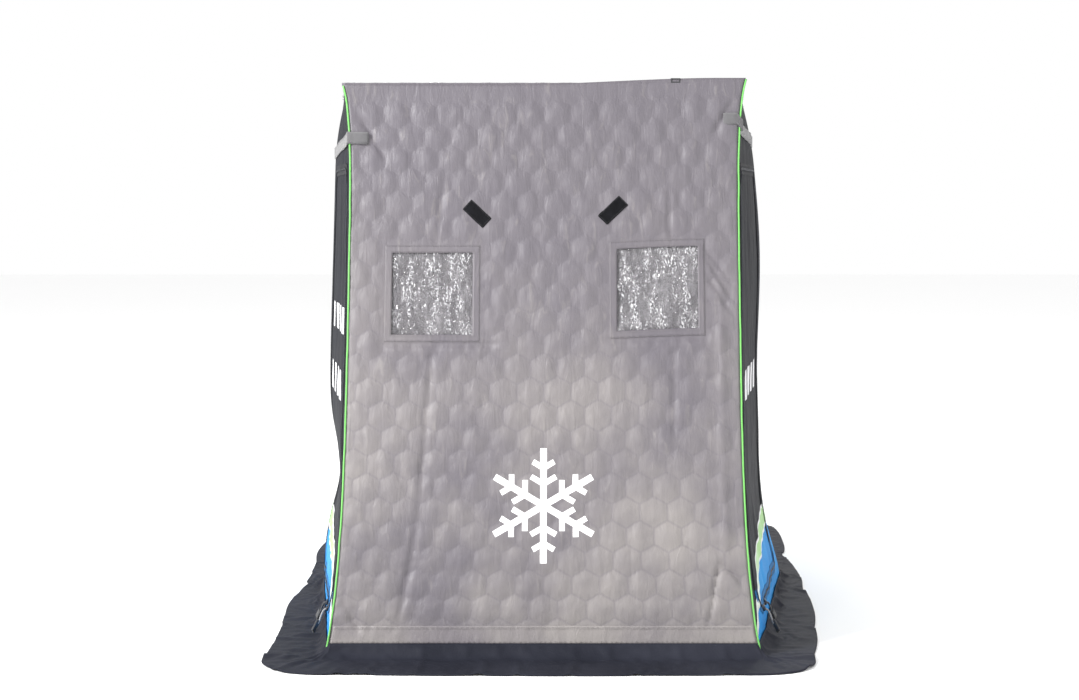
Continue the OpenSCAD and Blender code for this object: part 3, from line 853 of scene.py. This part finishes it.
def skin(name, outline, side, stand, mat, uvOf=None, thick=0.0015):
    # a thin piece that lies on a side
    pts, tris, edgeGap, area = cutCloth(outline, (), stripe["step"])
    n = sideRelief(pts[:, 0], pts[:, 1], side) * np.clip((pts[:, 0] - leanK * pts[:, 1]) / edgeSlack, 0, 1)
    for away in (np.abs(pts[:, 0] - middleY), pts[:, 1], backY - pts[:, 0]):
        n = n * np.clip(away / edgeSlack, 0, 1)
    faces = tris if side > 0 else tris[:, ::-1]
    piece = meshPiece(name, onSide(side, pts[:, 0], pts[:, 1], n + stand), faces, mat, uv=uvOf(pts) if uvOf else pts)
    return thicken(piece, thick), area, span(pts)


def acrossStripe(pts):
    low, high = limeFoot(pts[:, 0]), limeTop(pts[:, 0])
    return np.stack([pts[:, 0] / backY, (pts[:, 1] - low) / (high - low)], -1)


def stripeEdge(height, count=60):
    # it ends where the back panel slopes across it
    last = backY - 0.012 - (backY - rearY) / rearZ * float(height(backY))
    return [(y, float(height(y))) for y in np.linspace(stripe["end"], last, count)]


print("stripes")
bars = {"from": 0.36, "pitch": 0.13, "wide": 0.055, "slant": 0.02, "rows": [(0.70, 0.79), (0.90, 0.98)]}
for side, word in bothSides:
    outline = stripeEdge(limeFoot) + stripeEdge(limeTop)[::-1]
    lime, area, flat = skin(f"{word}_stripe_print", outline, side, 0.0022, stripeMat, acrossStripe)
    sewn(lime, [f"{word}_stripe"], "lime_print", (0.14, 2.05), area)
    for r, (low, high) in enumerate(bars["rows"] if side < 0 else bars["rows"][:1]):  # plain slanted bars
        for i in range(4):
            y, slant = bars["from"] + i * bars["pitch"], bars["slant"]
            corners = [(y, low), (y + bars["wide"], low), (y + bars["wide"] + slant, high), (y + slant, high)]
            mark, area, flat = skin(f"{word}_bar_print_{4 * r + i + 1}", corners, side, 0.0016, printMat, thick=0.0008)
            sewn(mark, [], "lime_print", flat, area)


def onPanel(name, node, slotName, outline, mat, step, stand, thick, holes=(), relief=True, extra=None,
            flat=None):
    # a thin sheet that lies on the front panel, given flat on it
    pts, tris, edgeGap, area = cutCloth(outline, holes, step)
    n = (np.array([reliefAt(*p) for p in pts]) if relief else np.zeros(len(pts))) + stand
    if extra is not None:
        n = n + extra(pts, edgeGap)
    piece = meshPiece(name, onFront(pts[:, 0], pts[:, 1], n), tris, mat, uv=pts)
    thicken(piece, thick)
    return sewn(piece, [node], slotName, flat or span(pts), area)


def crinkled(pts, edgeGap):
    ridges = 0.0030 * (1 - 2 * np.abs(ripple(pts, 95, 34, 5.0 + side)))
    return (ridges + 0.0040 * ripple(pts, 40, 16, 8.0 + side) - 0.003) * np.clip(edgeGap / 0.02, 0, 1)


def slack(pts, edgeGap):
    return 0.003 * ripple(pts, 12, 4, 3.0 + side) - 0.003


def puckered(pts, edgeGap):
    return 0.0025 * np.abs(ripple(pts, 38, 12, 3.3))


print("windows")
cover = {"over": 0.018, "slip": 0.002, "drop": 0.004, "stand": -0.014}  # set to the right, its upper left corner hangs
for side, word in bothSides:
    onPanel(f"{word}_window_sheet", f"{word}_window", "clear_vinyl", windowLoop(side, -0.001), vinylMat, 0.0045,
            -0.003, 0.0006, relief=False, extra=crinkled)
    cx, cy, half, over = side * windowBox["out"], windowBox["up"], windowBox["half"], cover["over"]
    loop = boxLoop(half, half + over, cx + over, cy)
    loop[3] = (cx - half + over - cover["slip"], cy + half - cover["drop"])
    onPanel(f"{word}_window_flap", f"{word}_window_cover", "plain_grey_fabric", loop, plainMat, 0.010,
            cover["stand"], 0.003, relief=False, extra=slack)
    border = onPanel(f"{word}_window_binding", f"{word}_window_border", "plain_grey_fabric", windowLoop(side, 0.018),
                     quiltMat, 0.006, 0.0003, 0.0004, holes=[windowLoop(side, -0.004)])
    tellSeam(border, np.full(len(border.data.vertices), seamFar))

print("trim")
hem = {"foot": seamZ / math.cos(leanAngle), "high": 0.052, "half": 0.580}
patchSize = {"out": 0.203, "up": 1.290, "long": 0.083, "wide": 0.039, "turn": 43}
onPanel("front_hem_band", "front_hem", "plain_grey_fabric",
        [(-hem["half"], hem["foot"]), (hem["half"], hem["foot"]), (hem["half"], hem["foot"] + hem["high"]),
         (-hem["half"], hem["foot"] + hem["high"])], plainMat, 0.008, 0.0012, 0.0015, extra=puckered)


def patchLoop(side, inset=0.0):
    turn = math.radians(patchSize["turn"]) * side
    ca, sa = math.cos(turn), math.sin(turn)
    cx, cy = side * patchSize["out"], patchSize["up"]
    flat = boxLoop(patchSize["long"] / 2 - inset, patchSize["wide"] / 2 - inset)
    return [(cx + ca * x - sa * y, cy + sa * x + ca * y) for x, y in (flat if inset else rounded(flat, 0.002, 3))]


for side, word in bothSides:
    onPanel(f"{word}_hook_patch", f"{word}_patch", "hook_and_loop", patchLoop(side), patchMat, 0.004, 0.0016, 0.002,
            flat=(patchSize["long"], patchSize["wide"]))


def tubeMesh(name, path, radius, mat, sides=10):
    # a round cord along a path, closed at both ends
    path = [Vector(p) for p in path]
    spots, faces, uv = [], [], []
    long = 0.0
    for i, p in enumerate(path):
        way = (path[min(i + 1, len(path) - 1)] - path[max(i - 1, 0)]).normalized()
        first = way.orthogonal() if i == 0 else (first - way * first.dot(way))
        first.normalize()
        second = way.cross(first)
        long += (p - path[i - 1]).length if i else 0.0
        for k in range(sides):
            angle = 2 * math.pi * k / sides
            spots.append(p + radius * (first * math.cos(angle) + second * math.sin(angle)))
            uv.append((long, k / sides))
    for i in range(len(path) - 1):
        for k in range(sides):
            a, b = i * sides + k, i * sides + (k + 1) % sides
            faces.append((a, b, b + sides, a + sides))
    faces.append(tuple(range(sides))[::-1])
    faces.append(tuple(range((len(path) - 1) * sides, len(path) * sides)))
    return meshPiece(name, spots, faces, mat, uv=uv)


def edgeSpot(z, side, out=0.0):
    # a place on a front edge of the hut, moved outwards by out
    base = onFront(np.array(side * walls["flat half"]), np.array(z / math.cos(leanAngle)), np.array(0.0))
    return Vector(base) + Vector((side * out, -out * 0.7, 0))


piping = {"radius": 0.0026, "out": 0.0022, "from": 0.020, "to": hutHeight - 0.004}
for side, word in bothSides:
    path = []
    for z in np.linspace(piping["from"], piping["to"], 160):
        stray = Vector((0.0012 * noise.noise((z * 14, side, 0.0)), 0.001 * noise.noise((z * 9, side, 4.0)), 0))
        path.append(edgeSpot(z, side, piping["out"]) + stray)
    fixed(tubeMesh(f"{word}_piping_cord", path, piping["radius"], pipingMat), "lime_piping", f"{word}_piping")


def ribbon(name, path, widths, wide, thick, mat, across=5):
    # a flat strap along a path; widths gives the direction across it at each point
    spots, faces, uv = [], [], []
    long = 0.0
    for i, (p, w) in enumerate(zip(path, widths)):
        long += (p - path[i - 1]).length if i else 0.0
        for k in range(across):
            t = k / (across - 1) - 0.5
            spots.append(p + w.normalized() * wide * t)
            uv.append((t * wide, long))
    for i in range(len(path) - 1):
        for k in range(across - 1):
            a = i * across + k
            faces.append((a, a + 1, a + 1 + across, a + across))
    return thicken(meshPiece(name, spots, faces, mat, uv=uv), thick, 0.0), long


strap = {"wide": 0.036, "thick": 0.0022, "drop": 0.025, "left": (1.487, 0.055), "right": (1.525, 0.050)}
for side, word in bothSides:
    height, onFace = strap[word]
    v = height / math.cos(leanAngle)
    path = []
    for t in np.linspace(0, 1, 9):  # on the front
        u = side * (walls["flat half"] - onFace + (onFace - 0.006) * t)
        path.append(Vector(onFront(np.array(u), np.array(v), np.array(reliefAt(u, v) + 0.003))))
    corner = edgeSpot(height, side)
    for out, back in ((0.006, -0.0075), (0.0095, -0.004), (0.0105, 0.003)):  # round the piping
        path.append(Vector((corner.x + side * out, corner.y + back, height)))
    widths = [Vector((0, math.sin(leanAngle), math.cos(leanAngle)))] * len(path)
    for t in np.linspace(0.03, 1, 40):  # back along the side to the middle bow
        y = leanK * height + (middleY - leanK * height) * t
        z = height - strap["drop"] * t
        fade = min(1, t * 8, (1 - t) * 8 + 0.02)
        stand = float(sideRelief(np.array([y]), np.array([z]), side)[0]) * fade
        path.append(Vector(onSide(side, y, z, max(stand, -0.002) + 0.004)))
        widths.append(Vector((0, 0, 1)))
    webbing, long = ribbon(f"{word}_strap_webbing", path, widths, strap["wide"], strap["thick"], strapMat)
    sewn(webbing, [f"{word}_strap"], "grey_webbing", (strap["wide"], long), strap["wide"] * long)


def repeatTree(name, shape):
    # geometry nodes: a line in, a row of small pieces out
    tree = bpy.data.node_groups.new(name, "GeometryNodeTree")
    tree.is_modifier = True
    for label, kind in (("Geometry", "Geometry"), ("Pitch", "Float"), ("Size", "Vector"), ("Outwards", "Vector"),
                        ("Material", "Material")):
        tree.interface.new_socket(name=label, in_out="INPUT", socket_type=f"NodeSocket{kind}")
    tree.interface.new_socket(name="Geometry", in_out="OUTPUT", socket_type="NodeSocketGeometry")
    make, link = tree.nodes.new, tree.links.new
    given, result = make("NodeGroupInput").outputs, make("NodeGroupOutput")
    curve, spread = make("GeometryNodeMeshToCurve"), make("GeometryNodeResampleCurve")
    spread.mode = "LENGTH"
    link(given["Geometry"], curve.inputs[0])
    link(curve.outputs[0], spread.inputs["Curve"])
    link(given["Pitch"], spread.inputs["Length"])
    lie, stand = make("FunctionNodeAlignRotationToVector"), make("FunctionNodeAlignRotationToVector")
    lie.axis = "X"
    stand.axis, stand.pivot_axis = "Z", "X"
    link(make("GeometryNodeInputTangent").outputs[0], lie.inputs["Vector"])
    link(lie.outputs[0], stand.inputs["Rotation"])
    link(given["Outwards"], stand.inputs["Vector"])
    if shape == "box":
        unit = make("GeometryNodeMeshCube")
    else:
        unit = make("GeometryNodeMeshUVSphere")
        for label, value in (("Segments", 6), ("Rings", 4), ("Radius", 0.5)):
            unit.inputs[label].default_value = value
    place = make("GeometryNodeInstanceOnPoints")
    link(spread.outputs[0], place.inputs["Points"])
    link(unit.outputs[0], place.inputs["Instance"])
    link(stand.outputs[0], place.inputs["Rotation"])
    link(given["Size"], place.inputs["Scale"])
    real, paint = make("GeometryNodeRealizeInstances"), make("GeometryNodeSetMaterial")
    link(place.outputs[0], real.inputs[0])
    link(real.outputs[0], paint.inputs["Geometry"])
    link(given["Material"], paint.inputs["Material"])
    link(paint.outputs[0], result.inputs[0])
    return tree


toothTree = repeatTree("row of teeth", "box")
stitchTree = repeatTree("row of stitches", "bead")


def rowAlong(name, paths, closed, tree, pitch, size, outwards, mat, slotName):
    spots, edges = [], []
    for path in paths:
        start = len(spots)
        spots += [tuple(p) for p in path]
        edges += [(start + i, start + i + 1) for i in range(len(path) - 1)]
        if closed:
            edges.append((len(spots) - 1, start))
    mesh = bpy.data.meshes.new(name)
    mesh.from_pydata(spots, edges, [])
    piece = addObject(name, mesh)
    row = piece.modifiers.new("row", "NODES")
    row.node_group = tree
    given = {"Pitch": pitch, "Size": size, "Outwards": outwards, "Material": mat}
    for item in tree.interface.items_tree:
        if item.in_out == "INPUT" and item.name in given:
            row[item.identifier] = given[item.name]
    settle(piece)
    if not piece.data.materials:
        piece.data.materials.append(mat)
    fixed(piece, slotName)


print("zips")
zips = {"wide": 0.034, "thick": 0.0016, "stand": 0.0022, "teeth": 0.0036, "pitch": 0.0052,
        "tooth": (0.0026, 0.0062, 0.0028), "sliders": (0.235, 0.315), "slider": (0.008, 0.032, 0.014),
        "tab": (0.007, 0.040, 0.016), "cord": 0.0030, "step": 0.02}
pullKnots = [(0.000, 0.004, 0.000), (0.010, 0.009, -0.006), (0.016, 0.016, -0.018), (0.020, 0.026, -0.032),
             (0.024, 0.034, -0.040)]


def loopOnSide(grow, stand, side):
    # the door's outline as close points on the side cloth
    base, moved = doorLoop(0.0), doorLoop(grow)
    spots = []
    for i in range(len(base)):
        a, b = moved[i], moved[(i + 1) % len(base)]
        count = max(1, int(round(math.dist(base[i], base[(i + 1) % len(base)]) / zips["step"])))
        spots += [a + (b - a) * k / count for k in range(count)]
    flat = np.array(spots)
    return onSide(side, flat[:, 0], flat[:, 1], sewnRelief(flat, side) + stand)


def block(name, middle, size, turn, mat, bevel):
    # a small body with rounded edges
    mesh = bpy.data.meshes.new(name)
    x, y, z = (s / 2 for s in size)
    mesh.from_pydata([(i * x, j * y, k * z) for i in (-1, 1) for j in (-1, 1) for k in (-1, 1)], [],
                     [(0, 1, 3, 2), (4, 6, 7, 5), (0, 4, 5, 1), (2, 3, 7, 6), (0, 2, 6, 4), (1, 5, 7, 3)])
    mesh.transform(Matrix.Translation(middle) @ turn.to_4x4())
    mesh.materials.append(mat)
    made = addObject(name, mesh)
    soft = made.modifiers.new("edges", "BEVEL")
    soft.width, soft.segments, soft.limit_method = bevel, 4, "NONE"
    settle(made)
    roundShade(made.data)
    return made


for side, word in bothSides:
    rings = [loopOnSide(g * zips["wide"], zips["stand"], side) for g in (-0.5, -0.25, -0.06, 0.06, 0.25, 0.5)]
    count = len(rings[0])
    faces = []
    uv = [(r * zips["wide"] / 5, i * zips["step"]) for r in range(len(rings)) for i in range(count)]
    for r in range(len(rings) - 1):
        for i in range(count):
            a, b = r * count + i, r * count + (i + 1) % count
            faces.append((a, a + count, b + count, b) if side < 0 else (a, b, b + count, a + count))
    tape = thicken(meshPiece(f"{word}_zip_tape", np.vstack(rings), faces, zipTapeMat, uv=uv), zips["thick"])
    length = float(np.linalg.norm(rings[2] - np.roll(rings[2], -1, axis=0), axis=1).sum())
    sewn(tape, [f"{word}_zip_track"], "zip_tape", (zips["wide"], length), zips["wide"] * length)
    rowAlong(f"{word}_zip_teeth", [loopOnSide(0.0, zips["teeth"], side)], True, toothTree, zips["pitch"],
             zips["tooth"], (side, 0, 0), zipMat, "zip_metal")

for side, word in bothSides:
    for k, y in enumerate(zips["sliders"]):
        middle = Vector(onSide(side, y, doorSize["sill"], 0.006))
        slider = block(f"{word}_zip_slider_{k + 1}", middle, zips["slider"], Matrix.Rotation(0, 3, "X"), zipMat, 0.003)
        fixed(slider, "zip_metal", *([] if k else [f"{word}_zip_pull"]))
        lean = 1 if k else -1
        path = [middle + Vector((side * (0.002 + a), b * lean, c)) for a, b, c in pullKnots]
        line = [path[i].lerp(path[i + 1], t) for i in range(4) for t in (0, 0.5)] + [path[3].lerp(path[4], 1)]
        pull = tubeMesh(f"{word}_zip_pull_cord_{k + 1}", line, zips["cord"], clipMat if k else cordMat, 8)
        fixed(pull, "zip_metal")
        tip = line[-1] + Vector((side * 0.006, 0.006 * lean, -0.006))
        way = (line[-1] - line[-3]).normalized()
        fixed(block(f"{word}_zip_tab_{k + 1}", tip, zips["tab"], way.to_track_quat("Y", "Z").to_matrix(), clipMat,
                    0.0022), "zip_metal")

print("stitching")
stitch = {"pitch": 0.0052, "size": (0.0038, 0.0010, 0.0008), "patch pitch": 0.004,
          "patch size": (0.003, 0.0009, 0.0007)}


def flatLoop(loop, stand, step=0.01):
    pts = alongLoop(np.array(loop, float), step)
    return [onFront(np.array(p[0]), np.array(p[1]), np.array(reliefAt(*p) + stand)) for p in pts]


outwards = (0, -math.cos(leanAngle), math.sin(leanAngle))
rows = [flatLoop(windowLoop(side, grow), 0.0018) for side in (-1, 1) for grow in (0.0165, 0.001)]
rowAlong("window_stitches", rows, True, stitchTree, stitch["pitch"], stitch["size"], outwards, threadMat,
         "plain_grey_fabric")
rows = [[onFront(np.array(u), np.array(v), np.array(reliefAt(u, v) + 0.0036)) for u in np.linspace(-0.574, 0.574, 120)]
        for v in (hem["foot"] + 0.048, hem["foot"] + 0.044)]
rowAlong("hem_stitches", rows, False, stitchTree, stitch["pitch"], stitch["size"], outwards, threadMat,
         "plain_grey_fabric")
rows = [flatLoop(patchLoop(side, 0.003), 0.0038, 0.006) for side in (-1, 1)]
rowAlong("patch_stitches", rows, True, stitchTree, stitch["patch pitch"], stitch["patch size"], outwards,
         darkThreadMat, "hook_and_loop")

print("skirt")
skirt = {"frames": 30, "slack": 0.02, "rows": 17, "seed": 6.0, "rise": 0.05, "front": -0.195, "corner": 0.60,
         "right": 0.785, "left": -0.81, "back": 2.165, "back left": -0.72, "back right": 0.84, "turn": 2.06,
         "thick": 0.003, "wide": 0.21, "reach": 0.955, "tension": 20,
         "cloth": {"quality": 6, "mass": 0.35, "shear_stiffness": 8, "bending_stiffness": 0.6, "air_damping": 2}}


def curve(a, b, c, count=14):
    # count points from a to c, drawn towards b
    a, b, c = map(np.array, (a, b, c))
    return [(1 - t) ** 2 * a + 2 * t * (1 - t) * b + t * t * c for t in np.linspace(0, 1, count, endpoint=False)]


def rightEdge(y):
    return skirt["right"] + 0.165 * (1 - math.exp(-max(y, 0) / 1.1))


def ringPoints():
    # the skirt's seam and its free edge, anticlockwise from the front left corner
    inner, outer = [], []
    foot = seamZ * leanK - 0.005
    w = float(sideX(foot, seamZ, -1))
    r = lambda y: float(sideX(y, seamZ, 1)) + 0.005
    l = lambda y: float(sideX(y, seamZ, -1)) + 0.005
    back, rim, left, turn = backY + 0.003, skirt["back"], skirt["left"], skirt["turn"]
    for t in np.linspace(0, 1, 84, endpoint=False):
        inner.append((-w + 0.01 + (2 * w - 0.02) * t, foot))
        outer.append((-skirt["corner"] + 2 * skirt["corner"] * t, skirt["front"] - 0.008 * math.sin(t * math.pi)))
    inner += curve((w - 0.01, foot), (w + 0.004, foot), (r(0.03), 0.03))
    outer += curve((skirt["corner"], skirt["front"]), (skirt["right"], -0.185), (skirt["right"], 0.0))
    for t in np.linspace(0, 1, 140, endpoint=False):
        y = 0.03 + (back - 0.05) * t
        inner.append((r(y), y))
        outer.append((rightEdge(turn * t), turn * t))
    inner += curve((r(back - 0.02), back - 0.02), (r(back), back), (r(back) - 0.02, back))
    outer += curve((rightEdge(turn), turn), (rightEdge(turn) + 0.005, 2.16), (skirt["back right"], rim))
    for t in np.linspace(0, 1, 96, endpoint=False):
        a, b = r(back) - 0.02, -l(back) + 0.02
        inner.append((a + (b - a) * t, back))
        outer.append((skirt["back right"] + (skirt["back left"] - skirt["back right"]) * t, rim))
    inner += curve((-l(back) + 0.02, back), (-l(back), back), (-l(back - 0.02), back - 0.02))
    outer += curve((skirt["back left"], rim), (-0.80, rim), (-0.80, turn))
    for t in np.linspace(0, 1, 140, endpoint=False):
        y = back - 0.02 + (0.03 - back + 0.02) * t
        inner.append((-l(y), y))
        y = turn * (1 - t)
        outer.append((left + 0.012 * math.sin(y * 7), y))
    inner += curve((-l(0.03), 0.03), (-w - 0.004, foot), (-w + 0.01, foot))
    outer += curve((left, 0.0), (left, -0.185), (-skirt["corner"], skirt["front"]))
    return np.array(inner), np.array(outer)


def perimeter(ring):
    return float(np.linalg.norm(ring - np.roll(ring, -1, axis=0), axis=1).sum())


inner, outer = ringPoints()
count, rows = len(inner), skirt["rows"]
along = np.concatenate([[0], np.cumsum(np.linalg.norm(np.diff((inner + outer) / 2, axis=0), axis=1))])
spots, uv, faces = [], [], []
for k in range(rows):
    t = k / (rows - 1)
    for i in range(count):
        x, y = inner[i] + (outer[i] - inner[i]) * t
        broad = noise.noise((x * 5, y * 5, skirt["seed"]))
        fine = noise.noise((x * 12, y * 12, skirt["seed"] + 2))
        flank = min(1.0, max(0.0, (y + 0.05) / 0.25))  # the sides are fuller than the front
        full = skirt["rise"] * (0.12 + 0.88 * flank) * (0.7 + (broad * 0.6 + fine * 0.25))
        z = seamZ * (1 - t) + 0.004 + math.sin(math.pi * min(1, t * 1.1)) * full
        spots.append((x, yBase + y, max(z, 0.004)))
        uv.append((t * 0.2, along[i]))
        if k:
            a, b = (k - 1) * count + i, (k - 1) * count + (i + 1) % count
            faces.append((a, a + count, b + count, b))
skirtPiece = meshPiece("snow_skirt", spots, faces, skirtMat, uv=uv)
flatArea = sum(p.area for p in skirtPiece.data.polygons)
ground = meshPiece("sim ground", [(-3, -4, 0), (3, -4, 0), (3, 4, 0), (-3, 4, 0)], [(0, 1, 2, 3)], skirtMat)
ground.modifiers.new("ground", "COLLISION")
ground.collision.thickness_outer = 0.003
ground.collision.cloth_friction = 40
runCloth(skirtPiece, skirt, range(count)).collision_settings.distance_min = 0.003
playCloth(skirt)
settle(skirtPiece)
bpy.data.objects.remove(ground)
scene.frame_set(1)
co = places(skirtPiece.data)
co[:, 2] = np.maximum(co[:, 2], 0.0032)
co[:, 0] = np.clip(co[:, 0], -skirt["reach"], skirt["reach"])
skirtPiece.data.vertices.foreach_set("co", co.astype(np.float32).ravel())
finer = skirtPiece.modifiers.new("finer", "SUBSURF")
finer.levels = finer.render_levels = 1
settle(skirtPiece)
thicken(skirtPiece, skirt["thick"])
sewn(skirtPiece, ["front_skirt", "back_skirt", "left_skirt", "right_skirt"], "skirt_fabric",
     (skirt["wide"], perimeter(outer)), min(flatArea, skirt["wide"] * perimeter(outer)))

print("frame")
bow = {"radius": 0.0125, "inside": 0.029, "bend": 0.06}
for name, (ya, za), (yb, zb), setBack in (
        ("front_bow", (0.0, 0.03), (topSetBack, hutHeight), 0.032),
        ("middle_bow", (middleY, 0.03), (middleY, middleZ), 0.0),
        ("rear_bow", (middleY + 0.05, 0.05), (rearY, rearZ), -0.032)):
    # each bow is one bent tube that the cloth is stretched over
    drop, bend = bow["inside"], bow["bend"]
    legs = []
    for t in np.linspace(0, 1, 14):
        y, z = ya + (yb - ya) * t, za + (zb - drop - za) * t
        legs.append((float(min(sideX(y, z, -1), sideX(y, z, 1))) - drop, y + setBack, z))
    path = [at(-x, y, z) for x, y, z in legs[:-1]]
    x, y, z = legs[-1]
    for k in range(1, 6):
        angle = math.pi / 2 * k / 6
        path.append(at(-x + bend * (1 - math.cos(angle)), y, z - bend * (1 - math.sin(angle))))
    path += [at(-x + bend + (2 * x - 2 * bend) * k / 12, y, z) for k in range(13)]
    path += [Vector((-p.x, p.y, p.z)) for p in reversed(path[:-13])]
    fixed(tubeMesh(f"{name}_tube", path, bow["radius"], tubeMat, 20), "frame_tube", name)
for name, mat in (("left_base_rail", tubeMat), ("right_base_rail", tubeMat), ("front_ground_bar", tubeMat),
                  ("rear_ground_bar", tubeMat), ("top_clip", clipMat)):
    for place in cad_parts[name].material_slots:
        place.material = mat
